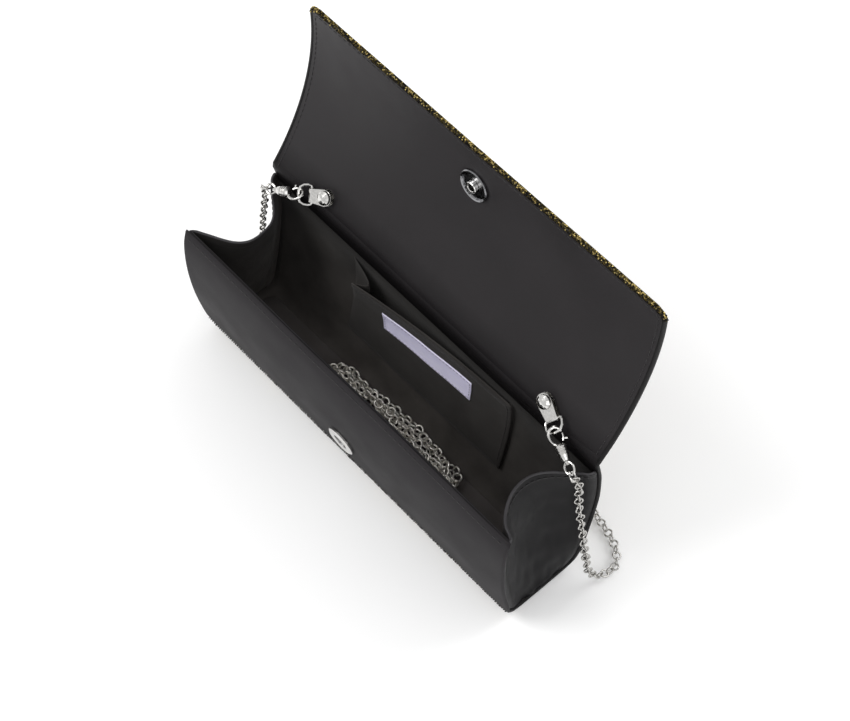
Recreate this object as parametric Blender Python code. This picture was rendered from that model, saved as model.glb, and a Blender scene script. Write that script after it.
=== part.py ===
"""Flap-over evening bag with a detachable chain handle, standing open on its base.

Metres, +Z up, X along the bag, -Y the front. The base lies on z = 0.
Section dimensions below are in millimetres, from the front panel's top edge.
"""
import math

import bmesh
import bpy
from mathutils import Matrix, Vector

# ---------------------------------------------------------------- driving dimensions, mm
HALF_LENGTH = 120.0          # bag is 240 long
BASE_Z = -96.5               # underside of the bag, from the front panel's top edge
BASE_MID_Y = 34.0            # middle of the flat base
CREASE = (57.5, 6.4)         # flap crease (y, z)
FOLD = (9.6, -86.8)          # crease between base and front panel
SKIN = 1.6                   # outer fabric on its backing
LINING = 0.8
GAP = 0.3                    # clear space between neighbouring pieces
FLAP_LENGTH = 109.0
FLAP_LEAN = (36.9, -6.8)     # lean back from upright at the crease and at the free edge, degrees
FLAP_CORNER = 6.0
GUSSET_FOLD = 24.0           # how far the gusset folds in at the mouth
SNAP_R = 9.0
SNAP_X = -1.0
STUD_S = 83.5                # stud's distance from the crease, along the flap
RIVET_X = 80.5
RIVET_S = 9.0
TAB_DROOP = {"left": 29.0, "right": 29.0}   # tab's slope below the crease line, degrees
CHAIN_R = 3.0                # radius of the tube that stands for the chain's links

BACK_OUTER = [(58.05, 5.3), (61.1, -0.6), (63.2, -9.0), (64.6, -20.0), (65.2, -32.0), (64.2, -46.0),
              (62.4, -60.0), (60.4, -74.0), (58.0, -86.0), (55.0, -92.8), (49.5, -96.5),
              (34.0, -96.5), (19.0, -96.5), (12.8, -93.6), (9.0, -87.6)]
FRONT_OUTER = [(8.2, -85.9), (5.6, -75.0), (3.2, -64.5), (1.2, -54.0), (-0.5, -42.0), (-1.6, -30.0),
               (-2.0, -18.0), (-1.6, -8.0), (0.0, 0.0)]

# ---------------------------------------------------------------- scene helpers
for old in list(bpy.data.objects):
    bpy.data.objects.remove(old, do_unlink=True)


def material(name, colour, metallic=0.0, rough=0.5):
    mat = bpy.data.materials.new(name)
    mat.use_nodes = True
    bsdf = mat.node_tree.nodes["Principled BSDF"]
    bsdf.inputs["Base Color"].default_value = (*colour, 1.0)
    bsdf.inputs["Metallic"].default_value = metallic
    bsdf.inputs["Roughness"].default_value = rough
    return mat


LEATHER = (0.055, 0.052, 0.050)
DARK = (0.022, 0.019, 0.018)
GLITTER = (0.045, 0.038, 0.022)
NICKEL = (0.78, 0.77, 0.75)


def place(point):
    """Section millimetres to row metres."""
    x, y, z = point
    return Vector((x, y - BASE_MID_Y, z - BASE_Z)) / 1000.0


def add(name, bm, colour, metallic=0.0, rough=0.5, pivot=None):
    bmesh.ops.recalc_face_normals(bm, faces=bm.faces)
    mesh = bpy.data.meshes.new(name)
    origin = place(pivot) if pivot else Vector((0, 0, 0))
    bmesh.ops.translate(bm, verts=bm.verts, vec=-origin)
    bm.to_mesh(mesh)
    bm.free()
    obj = bpy.data.objects.new(name, mesh)
    obj.location = origin
    obj.data.materials.append(material(name, colour, metallic, rough))
    bpy.context.collection.objects.link(obj)
    return obj


def grid_body(point, us, vs):
    """Closed body from point(u, v, side): side 0 and 1 are its two faces, in millimetres."""
    bm = bmesh.new()
    faces = [[[bm.verts.new(place(point(u, v, side))) for v in vs] for u in us] for side in (0, 1)]
    nu, nv = len(us), len(vs)
    for side in (0, 1):
        for i in range(nu - 1):
            for j in range(nv - 1):
                bm.faces.new([faces[side][i][j], faces[side][i + 1][j],
                              faces[side][i + 1][j + 1], faces[side][i][j + 1]])
    rim = ([(i, 0) for i in range(nu)] + [(nu - 1, j) for j in range(1, nv)]
           + [(i, nv - 1) for i in range(nu - 2, -1, -1)] + [(0, j) for j in range(nv - 2, 0, -1)])
    for (a, b), (c, d) in zip(rim, rim[1:] + rim[:1]):
        bm.faces.new([faces[0][a][b], faces[0][c][d], faces[1][c][d], faces[1][a][b]])
    return bm


def steps(low, high, count):
    return [low + (high - low) * k / (count - 1) for k in range(count)]


def offset_line(line, distance):
    """A (y, z) polyline moved to its left by distance."""
    moved = []
    for k, (y, z) in enumerate(line):
        a, b = line[max(k - 1, 0)], line[min(k + 1, len(line) - 1)]
        dy, dz = b[0] - a[0], b[1] - a[1]
        size = math.hypot(dy, dz)
        bend = 1.0
        if 0 < k < len(line) - 1:
            p, q = line[k - 1], line[k + 1]
            first = Vector((y - p[0], z - p[1])).normalized()
            second = Vector((q[0] - y, q[1] - z)).normalized()
            bend = max(math.cos(first.angle(second) / 2), 0.5)
        moved.append((y - dz / size * distance / bend, z + dy / size * distance / bend))
    return moved


def at(line, t):
    """Point at index-fraction t of a polyline."""
    k = min(int(t), len(line) - 2)
    f = t - k
    return tuple(line[k][c] + (line[k + 1][c] - line[k][c]) * f for c in (0, 1))


def at_height(line, z):
    """Y of a polyline at height z, on its first crossing."""
    for (y0, z0), (y1, z1) in zip(line, line[1:]):
        if min(z0, z1) - 1e-6 <= z <= max(z0, z1) + 1e-6 and z0 != z1:
            return y0 + (y1 - y0) * (z - z0) / (z1 - z0)
    return line[0][0] if z > line[0][1] else line[-1][0]


def panel(line_a, line_b, half):
    """Sheet between two matching section lines, running along X."""
    def point(u, v, side):
        y, z = at((line_a, line_b)[side], v)
        return (u * half, y, z)
    return grid_body(point, [-1.0, -0.5, 0.0, 0.5, 1.0], [float(k) for k in range(len(line_a))])


# ---------------------------------------------------------------- flap coordinates
def flap_frame(s):
    """Crease-to-edge position, direction and inner-face normal at s, in (y, z)."""
    a0, a1 = (math.radians(a) for a in FLAP_LEAN)
    k = (a1 - a0) / FLAP_LENGTH
    a = a0 + k * s
    y = CREASE[0] + (math.cos(a0) - math.cos(a)) / k
    z = CREASE[1] + (math.sin(a) - math.sin(a0)) / k
    return Vector((y, z)), Vector((math.sin(a), math.cos(a))), Vector((-math.cos(a), math.sin(a)))


def on_flap(x, s, n):
    if s < 0:
        base, run, normal = flap_frame(0.0)
        base = base + run * s
    else:
        base, run, normal = flap_frame(s)
    return (x, base.x + normal.x * n, base.y + normal.y * n)


def flap_half(s, inset):
    """Half width of the flap at s, with its rounded free corners."""
    end = FLAP_LENGTH - inset
    r = FLAP_CORNER - inset * 0.5
    half = HALF_LENGTH - inset
    if s > end - r:
        half -= r - math.sqrt(max(r * r - (s - end + r) ** 2, 0.0))
    return half


def flap_layer(low, high, inset, start):
    end = FLAP_LENGTH - inset
    r = FLAP_CORNER - inset * 0.5
    vs = steps(start, end - r, 15) + [end - r + r * f for f in (0.35, 0.65, 0.87, 0.97, 1.0)]
    def point(u, v, side):
        return on_flap(u * flap_half(v, inset), v, (low, high)[side])
    return grid_body(point, [-1.0, -0.6, -0.2, 0.2, 0.6, 1.0], vs)


# ---------------------------------------------------------------- root: base, back and gussets
OUT = HALF_LENGTH
shell_in = offset_line(BACK_OUTER, -SKIN)
add("back_shell", panel(BACK_OUTER, shell_in, OUT), GLITTER, 0.3, 0.4)

lining_out = offset_line(BACK_OUTER, -(SKIN + GAP))
lining_in = offset_line(BACK_OUTER, -(SKIN + GAP + LINING))
back_lining = panel(lining_out[1:-2], lining_in[1:-2], OUT - 1.0)
add("back_lining", back_lining, DARK, 0.0, 0.8)

INSIDE_FLOOR = BASE_Z + SKIN + GAP + LINING + GAP


def board_point(u, v, side):
    r = 5.0
    half = 112.0 - (r - math.sqrt(max(r * r - max(abs(v) - 13.5 + r, 0.0) ** 2, 0.0)))
    return (u * half, 34.0 + v, INSIDE_FLOOR + 1.2 * side)


add("base_board", grid_body(board_point, [-1.0, 0.0, 1.0],
                            [-13.5, -12.0, -8.5, 8.5, 12.0, 13.5]), DARK, 0.0, 0.85)

front_in = offset_line(FRONT_OUTER, -SKIN)
front_lining_out = offset_line(FRONT_OUTER, -(SKIN + GAP))
front_lining_in = offset_line(FRONT_OUTER, -(SKIN + GAP + LINING))

PLEAT = {-1: [0.0, 0.16, 0.62, 0.9, 1.0, 1.0, 0.97, 0.84, 0.5, 0.14, 0.0],
         1: [0.0, 0.38, 0.6, 0.76, 0.85, 0.885, 0.867, 0.735, 0.49, 0.2, 0.0]}


def gusset(sign):
    """Side gusset: one sheet from the front lining to the back lining, folded in at the mouth."""
    def centre(t, z):
        lip = GAP + 0.35
        y0 = at_height(front_lining_in[::-1], z) + lip
        if z < front_lining_in[0][1]:
            y0 = 12.5 + (front_lining_in[0][1] - z) * 0.45
        y1 = at_height(lining_in[1:-2], z) - lip
        if z < -90.0:
            y1 = min(y1, 52.5)
        depth = GUSSET_FOLD * max((z + 93.0) / 93.0, 0.0) ** 0.8
        k = min(int(t * 10), 9)
        f = t * 10 - k
        swing = PLEAT[sign][k] + (PLEAT[sign][k + 1] - PLEAT[sign][k]) * f
        return y0 + (y1 - y0) * t, OUT - 1.6 - depth * swing

    def top(t):
        dip = 1.0 - (2 * t - 1.0) ** 4
        return -1.5 - 3.6 * dip

    def point(u, v, side):
        z = top(u) + (-92.6 - top(u)) * v
        y, x = centre(u, z)
        ya, xa = centre(max(u - 0.02, 0.0), z)
        yb, xb = centre(min(u + 0.02, 1.0), z)
        tangent = Vector((yb - ya, xb - xa)).normalized()
        shift = (0.5 if side else -0.5)
        y += -tangent.y * shift
        x += tangent.x * shift
        edge_y = centre(0.0, z)[0], centre(1.0, z)[0]
        y = min(max(y, edge_y[0] - 0.3), edge_y[1] + 0.3)
        return (sign * x, y, z)
    us = [0.0, 0.05, 0.1, 0.15, 0.2, 0.25, 0.3, 0.4, 0.5, 0.6, 0.7, 0.75, 0.8, 0.85, 0.9, 0.95, 1.0]
    return grid_body(point, us, steps(0.0, 1.0, 9))


add("gusset_left", gusset(-1), DARK, 0.0, 0.75)
add("gusset_right", gusset(1), DARK, 0.0, 0.75)

# ---------------------------------------------------------------- slip pocket on the back wall
POCKET_RIGHT = 61.0
POCKET_Z = (-12.0, -72.0)


def pocket_left(z):
    """The pocket's left edge slants outwards as it goes down."""
    return -46.0 - 11.0 * (POCKET_Z[0] - z) / (POCKET_Z[0] - POCKET_Z[1])


def pocket_y(x, z):
    """Inner (room-side) face of the pocket, standing open at its left end."""
    back = at_height(lining_in[1:-2], z)
    f = min(max((POCKET_Z[0] - z) / (POCKET_Z[0] - POCKET_Z[1]), 0.0), 1.0)
    u = min(max((x - pocket_left(z)) / (POCKET_RIGHT - pocket_left(z)), 0.0), 1.0)
    open_top = 2.2 + 10.6 * (1.0 - u) ** 1.9
    return back - 2.0 * f - open_top * (1.0 - f) ** 0.9


def pocket_point(u, v, side):
    z = POCKET_Z[0] + (POCKET_Z[1] - POCKET_Z[0]) * v
    x = pocket_left(z) + (POCKET_RIGHT - pocket_left(z)) * u
    return (x, pocket_y(x, z) + 0.9 * side, z)


add("pocket_front", grid_body(pocket_point, steps(0, 1, 13), steps(0, 1, 8)), DARK, 0.0, 0.8)


def pocket_gusset(x_edge, x_back, fold):
    def point(u, v, side):
        z = POCKET_Z[0] - 1.0 + (POCKET_Z[1] + 3.0 - POCKET_Z[0]) * v
        start = x_edge(z)
        y0 = pocket_y(start, z) + 1.3
        y1 = at_height(lining_in[1:-2], z) - 0.4
        inward = math.sin(math.pi * u) * fold * min((y1 - y0) / 10.0, 1.0)
        x = start + (x_back - start) * u + inward
        return (x + 0.7 * (side - 0.5), y0 + (y1 - y0) * u, z)
    return grid_body(point, [0.0, 0.25, 0.5, 0.75, 1.0], steps(0, 1, 7))


add("pocket_gusset_left", pocket_gusset(lambda z: pocket_left(z) + 1.4, -58.0, 11.0), DARK, 0.0, 0.8)
add("pocket_gusset_right", pocket_gusset(lambda z: 59.5, 60.5, -1.5), DARK, 0.0, 0.8)


def label_point(u, v, side):
    x = -28.0 + 61.5 * u
    z = -24.5 - 15.5 * v
    return (x, pocket_y(x, z) - 0.3 - 0.6 * side, z)


add("label", grid_body(label_point, steps(0, 1, 8), steps(0, 1, 3)), (0.72, 0.70, 0.80), 0.0, 0.7)


# ---------------------------------------------------------------- front panel, turns about FOLD
AXIS_FRONT = (0.0, FOLD[0], FOLD[1])
add("front_panel", panel(FRONT_OUTER, front_in, OUT), LEATHER, 0.0, 0.5, AXIS_FRONT)
add("front_lining", panel(front_lining_out[1:-1], front_lining_in[1:-1], OUT - 1.0),
    DARK, 0.0, 0.8, AXIS_FRONT)


def facing_point(u, v, side):
    z = -7.4 + 6.9 * v
    y = at_height(front_in[::-1], z) + GAP + 0.9 * side
    return (u * (OUT - 1.0), y, z)


add("front_facing", grid_body(facing_point, [-1.0, 0.0, 1.0], [0.0, 0.5, 1.0]),
    LEATHER, 0.0, 0.5, AXIS_FRONT)


# ---------------------------------------------------------------- round work: lathe, tube, frames
def basis(origin, axis, side):
    """Millimetre frame with its third axis along axis and its first nearest to side."""
    w = Vector(axis).normalized()
    u = (Vector(side) - w * Vector(side).dot(w)).normalized()
    v = w.cross(u)
    return lambda a, b, c: tuple(Vector(origin) + u * a + v * b + w * c)


def lathe(frame, profile, segments=24):
    """Turned body: profile is (radius, height) pairs; a zero radius closes on the axis."""
    bm = bmesh.new()
    rings = []
    for r, h in profile:
        if r <= 1e-6:
            rings.append([bm.verts.new(place(frame(0, 0, h)))])
        else:
            rings.append([bm.verts.new(place(frame(r * math.cos(2 * math.pi * k / segments),
                                                   r * math.sin(2 * math.pi * k / segments), h)))
                          for k in range(segments)])
    pairs = list(zip(rings, rings[1:]))
    if profile[0][0] > 1e-6:
        pairs.append((rings[-1], rings[0]))
    for a, b in pairs:
        for k in range(segments):
            m = (k + 1) % segments
            if len(a) == 1:
                bm.faces.new([a[0], b[k], b[m]])
            elif len(b) == 1:
                bm.faces.new([a[k], b[0], a[m]])
            else:
                bm.faces.new([a[k], b[k], b[m], a[m]])
    return bm


def tube(points, radius, closed=False, segments=10, up=None):
    """Round tube through millimetre points; radius may be a list."""
    pts = [Vector(p) for p in points]
    n = len(pts)
    radii = radius if isinstance(radius, list) else [radius] * n
    bm = bmesh.new()
    rings = []
    ref = Vector(up) if up else None
    for k, p in enumerate(pts):
        a = pts[(k - 1) % n] if closed or k else p
        b = pts[(k + 1) % n] if closed or k < n - 1 else p
        t = (b - a).normalized()
        if ref is None:
            ref = Vector((0, 0, 1)) if abs(t.z) < 0.9 else Vector((1, 0, 0))
        u = ref - t * ref.dot(t)
        u.normalize()
        ref = u
        v = t.cross(u)
        rings.append([bm.verts.new(place(p + (u * math.cos(2 * math.pi * m / segments)
                                              + v * math.sin(2 * math.pi * m / segments)) * radii[k]))
                      for m in range(segments)])
    spans = list(zip(rings, rings[1:])) + ([(rings[-1], rings[0])] if closed else [])
    for a, b in spans:
        for m in range(segments):
            q = (m + 1) % segments
            bm.faces.new([a[m], a[q], b[q], b[m]])
    if not closed:
        bm.faces.new(rings[0])
        bm.faces.new(rings[-1])
    return bm


def cut(obj, tool, mode):
    """Boolean of obj with a temporary tool, applied."""
    mod = obj.modifiers.new("cut", "BOOLEAN")
    mod.operation = mode
    mod.solver = "EXACT"
    mod.object = tool
    depsgraph = bpy.context.evaluated_depsgraph_get()
    mesh = bpy.data.meshes.new_from_object(obj.evaluated_get(depsgraph))
    obj.modifiers.clear()
    old = obj.data
    obj.data = mesh
    bpy.data.meshes.remove(old)
    bpy.data.objects.remove(tool, do_unlink=True)


# ---------------------------------------------------------------- magnetic snap
_, _, stud_normal = flap_frame(STUD_S)
stud_frame = basis(on_flap(SNAP_X, STUD_S, 0.0), (0, stud_normal.x, stud_normal.y), (1, 0, 0))
AXIS_FLAP = (0.0, CREASE[0], CREASE[1])
SOCKET_Z = -61.5
slope_a = at_height(FRONT_OUTER, SOCKET_Z - 4)
slope_b = at_height(FRONT_OUTER, SOCKET_Z + 4)
front_run = Vector((0, slope_b - slope_a, 8.0)).normalized()
front_normal = Vector((0, -front_run.z, front_run.y))
socket_frame = basis((SNAP_X, at_height(FRONT_OUTER, SOCKET_Z), SOCKET_Z), front_normal, (1, 0, 0))
add("snap_socket", lathe(socket_frame, [(4.6, 0.35), (SNAP_R, 0.35), (SNAP_R, 1.3), (SNAP_R - 1.0, 1.9),
                                         (5.4, 1.9), (4.6, 1.5)], 32), NICKEL, 1.0, 0.2, AXIS_FRONT)
add("snap_magnet", lathe(socket_frame, [(0, 0.35), (4.2, 0.35), (4.2, 0.8), (0, 0.8)], 24),
    (0.2, 0.2, 0.2), 1.0, 0.4, AXIS_FRONT)

# ---------------------------------------------------------------- flap, turns about CREASE
LAYER = 1.2
add("flap_lining", flap_layer(-LAYER, 0.0, 3.6, 1.6), LEATHER, 0.0, 0.5, AXIS_FLAP)
add("flap_board", flap_layer(-LAYER - GAP - 0.8, -LAYER - GAP, 4.0, 14.0), (0.3, 0.3, 0.3), 0.0, 0.9,
    AXIS_FLAP)
add("flap_shell", flap_layer(-LAYER - 2 * GAP - 0.8 - 1.4, -LAYER - 2 * GAP - 0.8, 0.0, 1.6),
    GLITTER, 0.3, 0.4, AXIS_FLAP)


def rim_path(inset):
    """Left side, free edge and right side of the flap, as (x, s) at an inset."""
    end, r, half = FLAP_LENGTH - inset, FLAP_CORNER - inset * 0.8, HALF_LENGTH - inset
    left = [(-half, s) for s in steps(3.0, end - r, 13)]
    corner = [(-half + r - r * math.cos(a), end - r + r * math.sin(a))
              for a in (math.radians(d) for d in (22.5, 45.0, 67.5, 90.0))]
    middle = [(-half + r + (2 * half - 2 * r) * f, end) for f in (0.25, 0.5, 0.75)]
    half_path = left + corner
    return half_path + middle + [(-x, s) for x, s in half_path[::-1]]


def rim_point(u, v, side):
    k = int(u)
    a, b = rim_path(0.0)[k], rim_path(3.2)[k]
    x, s = a[0] + (b[0] - a[0]) * v, a[1] + (b[1] - a[1]) * v
    return on_flap(x, s, (-LAYER - 0.6, 0.3)[side] + (0.0 if 0 < v < 1 else (0.3 if side == 0 else -0.5)))


add("flap_rim", grid_body(rim_point, list(range(len(rim_path(0.0)))), [0.0, 0.3, 0.7, 1.0]),
    GLITTER, 0.4, 0.35, AXIS_FLAP)

add("snap_stud", lathe(stud_frame, [(3.5, 0.35), (SNAP_R, 0.35), (SNAP_R, 1.4), (SNAP_R - 0.5, 1.8),
                                     (SNAP_R - 1.2, 1.5), (SNAP_R - 1.5, 0.8), (3.5, 0.8)], 32), NICKEL, 1.0, 0.2, AXIS_FLAP)
add("snap_post", lathe(stud_frame, [(1.9, 0.35), (3.2, 0.35), (3.2, 2.9), (2.9, 3.3), (2.2, 3.3),
                                    (1.9, 3.0)], 20),
    NICKEL, 1.0, 0.25, AXIS_FLAP)


# ---------------------------------------------------------------- handle fittings, one set each side
def fittings(side):
    sign = 1 if side == "right" else -1
    droop = math.radians(TAB_DROOP[side])
    _, run, normal = flap_frame(RIVET_S)
    s_dir, n_dir = Vector((0, run.x, run.y)), Vector((0, normal.x, normal.y))
    origin = Vector(on_flap(sign * RIVET_X, RIVET_S, 0.0))
    e1 = Vector((sign, 0, 0)) * math.cos(droop) - s_dir * math.sin(droop)
    e2 = n_dir.cross(e1)

    def loc(x, y, n):
        return tuple(origin + e1 * x + e2 * y + n_dir * n)

    rivet = lathe(basis(origin, n_dir, (1, 0, 0)),
                  [(0, 0.3), (1.5, 0.3), (1.5, 3.75),
                   (3.9, 3.75), (3.7, 4.5), (2.6, 5.3), (1.2, 5.7), (0, 5.8)], 20)
    add("rivet_" + side, rivet, NICKEL, 1.0, 0.15, AXIS_FLAP)
    outside = -(LAYER + 2 * GAP + 0.8 + 1.4 + 0.3)
    cap = lathe(basis(origin, n_dir, (1, 0, 0)),
                [(0, outside), (3.9, outside), (3.7, outside - 0.6), (0, outside - 1.1)], 20)
    add("rivet_cap_" + side, cap, NICKEL, 1.0, 0.15, AXIS_FLAP)

    bar_x, bar_n, bar_r = 9.4, 1.85, 0.7
    reach, rise = 6.4, 3.2             # ring's far end from the bar
    hub_x, hook_a, hook_b, twist = 8.0, 4.3, 3.5, math.radians(45)
    fold_r = bar_r + GAP
    path = [(x, bar_n + fold_r) for x in (-4.3, -3.8, -2.5, 0.0, 3.0, 6.5, bar_x)]
    path += [(bar_x + fold_r * math.sin(a), bar_n + fold_r * math.cos(a))
             for a in (math.radians(d) for d in (30, 60, 90, 120, 150))]
    path += [(x, bar_n - fold_r) for x in (bar_x, 6.5, 3.0, 0.0, -2.5, -3.8, -4.3)]

    def half_width(x):
        if x < 0:
            return math.sqrt(max(4.4 ** 2 - x * x, 0.8))
        return 4.4 - 0.9 * min(x / bar_x, 1.0)

    def tab_point(u, v, side_index):
        k = int(u)
        a, b = path[max(k - 1, 0)], path[min(k + 1, len(path) - 1)]
        tx, tn = b[0] - a[0], b[1] - a[1]
        size = math.hypot(tx, tn)
        x = path[k][0] - tn / size * 0.6 * side_index
        n = path[k][1] + tx / size * 0.6 * side_index
        return loc(x, v * half_width(path[k][0]), n)
    tab = add("tab_" + side, grid_body(tab_point, list(range(len(path))), [-1.0, -0.5, 0.0, 0.5, 1.0]),
              NICKEL, 1.0, 0.2)
    hole = add("hole", lathe(basis(origin, n_dir, (1, 0, 0)), [(0, -0.5), (1.85, -0.5), (1.85, 5.0), (0, 5.0)],
                             20), NICKEL)
    cut(tab, hole, "DIFFERENCE")
    rehome(tab, origin)

    ring = [loc(bar_x, y, bar_n) for y in (-4.1, -2.0, 0.0, 2.0, 4.1)]
    bow = ((0.3, 4.9, 0.15), (1.6, 5.3, 0.8), (3.8, 5.1, 1.9), (5.4, 4.0, 2.7), (6.2, 2.2, 3.1))
    ring += [loc(bar_x + x, y, bar_n + n) for x, y, n in bow]
    ring += [loc(bar_x + reach, 0.0, bar_n + rise)]
    ring += [loc(bar_x + x, -y, bar_n + n) for x, y, n in bow[::-1]]
    bar = Vector(loc(bar_x, 0, bar_n))
    add("ring_" + side, tube(ring, bar_r, True, 10, n_dir), NICKEL, 1.0, 0.18, tuple(bar))

    # clasp: hook round the ring, ribbed barrel, gate, swivel eye, jump rings
    hub = (bar_x + hub_x, bar_n + 3.4)
    across = e2 * sign * math.cos(twist) - n_dir * math.sin(twist)
    plane = n_dir * sign * math.cos(twist) + e2 * math.sin(twist)

    def hook_at(angle, out=0.0):
        a = math.radians(angle)
        return tuple(Vector(loc(hub[0], 0, hub[1])) + e1 * (hook_a + out) * math.cos(a)
                     + across * (hook_b + out) * math.sin(a))
    hook_path = [hook_at(a) for a in range(-252, -20, 14)]
    hook_path += [tuple(Vector(loc(hub[0] + x, 0, hub[1])) + across * w) for x, w in ((5.1, -0.5), (6.3, 0.0))]
    hook = tube(hook_path, [0.55] + [0.75] * (len(hook_path) - 1), False, 10, plane)
    clasp = add("clasp_" + side, hook, NICKEL, 1.0, 0.18)
    start = hub[0] + 4.1
    ribs = [(0, 0.0), (1.9, 0.0), (2.6, 0.5), (3.1, 1.1), (3.1, 1.8), (2.7, 2.0), (2.7, 2.35), (3.0, 2.55),
            (3.0, 3.2), (2.6, 3.4), (2.6, 3.75), (2.9, 3.95), (2.9, 4.6), (2.5, 4.8), (2.5, 5.15),
            (2.7, 5.4), (2.3, 6.9), (1.9, 8.0), (1.6, 8.6), (0, 8.6)]
    barrel = add("barrel", lathe(basis(loc(start, 0, hub[1]), e1, n_dir), ribs, 20), NICKEL)
    cut(clasp, barrel, "UNION")
    rehome(clasp, Vector(loc(bar_x + reach, 0, bar_n + rise)))

    gate_path = [hook_at(a) for a in (96, 78, 60, 42)]
    gate_pivot = hook_at(36)
    gate = tube(gate_path, [0.5, 0.6, 0.6, 0.6], False, 8, plane)
    gate_obj = add("gate_" + side, gate, NICKEL, 1.0, 0.2)
    knob = add("knob", tube([hook_at(60, 0.1), hook_at(64, 1.9)], [0.45, 0.6], False, 8, plane), NICKEL)
    cut(gate_obj, knob, "UNION")
    rehome(gate_obj, Vector(gate_pivot))

    eye_x = start + 8.6 + 3.9
    eye = [loc(eye_x + 3.2 * math.cos(a), 2.7 * math.sin(a), hub[1])
           for a in (2 * math.pi * k / 20 for k in range(20))]
    eye_obj = add("eye_" + side, tube(eye, 0.65, True, 8, n_dir), NICKEL, 1.0, 0.2)
    neck = add("neck", lathe(basis(loc(start + 8.9, 0, hub[1]), e1, n_dir),
                             [(0, 0), (1.4, 0), (1.4, 0.5), (1.0, 0.8), (1.0, 1.9), (0, 1.9)], 14), NICKEL)
    cut(eye_obj, neck, "UNION")
    rehome(eye_obj, Vector(loc(start + 8.8, 0, hub[1])))

    down = e1
    side_dir = e2.cross(down).normalized()
    mid = Vector(loc(eye_x + 3.2, 0, hub[1])) + down * 0.9
    jump = [tuple(mid + (down * math.cos(a) + side_dir * math.sin(a)) * 2.45)
            for a in (2 * math.pi * k / 18 for k in range(18))]
    add("jump_ring_" + side, tube(jump, 0.5, True, 8), NICKEL, 1.0, 0.2, tuple(mid))
    return mid + down * 3.4


def rehome(obj, origin):
    """Moves an object's origin onto a millimetre point, leaving its shape where it is."""
    target = place(origin)
    shift = target - obj.location
    obj.data.transform(Matrix.Translation(-shift))
    obj.location = target


end_left = fittings("left")
end_right = fittings("right")


# ---------------------------------------------------------------- chains
def smooth(points, step=14.0):
    """Evenly spaced points on a curve through the given ones."""
    pts = [Vector(p) for p in points]
    fine = []
    for k in range(len(pts) - 1):
        p0, p1 = pts[max(k - 1, 0)], pts[k]
        p2, p3 = pts[k + 1], pts[min(k + 2, len(pts) - 1)]
        for m in range(12):
            t = m / 12
            fine.append(0.5 * ((2 * p1) + (p2 - p0) * t + (2 * p0 - 5 * p1 + 4 * p2 - p3) * t * t
                               + (3 * p1 - p0 - 3 * p2 + p3) * t ** 3))
    fine.append(pts[-1])
    total = sum((b - a).length for a, b in zip(fine, fine[1:]))
    count = max(int(total / step), 4)
    out, run, k = [fine[0]], 0.0, 0
    for m in range(1, count):
        want = total * m / count
        while run + (fine[k + 1] - fine[k]).length < want:
            run += (fine[k + 1] - fine[k]).length
            k += 1
        out.append(fine[k].lerp(fine[k + 1], (want - run) / (fine[k + 1] - fine[k]).length))
    return out + [fine[-1]]


LOW = BASE_Z + CHAIN_R + 0.05
HANDLE = [(-117.4, 50.8, -8.0), (-118.8, 50.9, -20.0), (-121.0, 51.2, -35.0), (-123.0, 52.2, -52.0),
          (-124.8, 54.5, -70.0), (-126.5, 60.0, -86.0), (-127.0, 69.0, LOW), (-118.0, 80.0, LOW),
          (-92.0, 90.0, LOW), (-52.0, 84.0, LOW), (-8.0, 92.0, LOW), (38.0, 86.0, LOW), (76.0, 91.0, LOW),
          (106.0, 85.0, LOW), (124.0, 80.5, LOW), (134.0, 73.5, LOW), (134.5, 64.0, LOW),
          (132.0, 57.0, LOW + 4.5), (130.6, 53.2, -78.0), (126.8, 51.6, -58.0), (122.0, 51.2, -38.0),
          (118.2, 50.9, -21.0), (116.8, 50.8, -7.5)]
chain_points = smooth(HANDLE, 11.0)
add("handle_chain", tube([tuple(p) for p in chain_points], CHAIN_R, False, 12), NICKEL, 1.0, 0.25)


def hank_point(u, v, side):
    """The long chain, folded up on the base board."""
    x = 1.5 + 51.0 * u
    taper = math.sqrt(max(1.0 - abs(u) ** 4, 0.06))
    y = 35.0 + 15.0 * v * taper
    if side == 0:
        z = INSIDE_FLOOR + 1.5 + 1.5 * abs(v) ** 4
    else:
        z = INSIDE_FLOOR + 3.2 + 15.5 * taper * math.sqrt(max(1.0 - v ** 4, 0.0))
    return (x, y, z)


add("stowed_chain", grid_body(hank_point, [-1.0, -0.92, -0.8, -0.6, -0.3, 0.0, 0.3, 0.6, 0.8, 0.92, 1.0],
                              [-1.0, -0.85, -0.5, 0.0, 0.5, 0.85, 1.0]), NICKEL, 1.0, 0.3)
for tag, sign in (("a", -1), ("b", 1)):
    base = Vector((1.5 + sign * 55.0, 31.0 + 2.0 * sign, INSIDE_FLOOR + 4.2))
    frame = basis(base, (sign, 0.15, 0.0), (0, 0, 1))
    add("stowed_clasp_" + tag, lathe(frame, [(0, 0.0), (2.0, 0.0), (2.6, 1.0), (2.6, 4.8), (2.2, 6.5),
                                              (1.5, 9.0), (1.0, 14.0), (0, 14.0)], 16), NICKEL, 1.0, 0.2)
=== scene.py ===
"""Evening bag standing open: leather, cloth, lining, label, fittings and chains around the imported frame.

Section coordinates are millimetres from the front panel's top edge: X along the bag, Y back, Z up.
"""
import math
import random

import bmesh
import bpy
from mathutils import Matrix, Vector, noise


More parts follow.
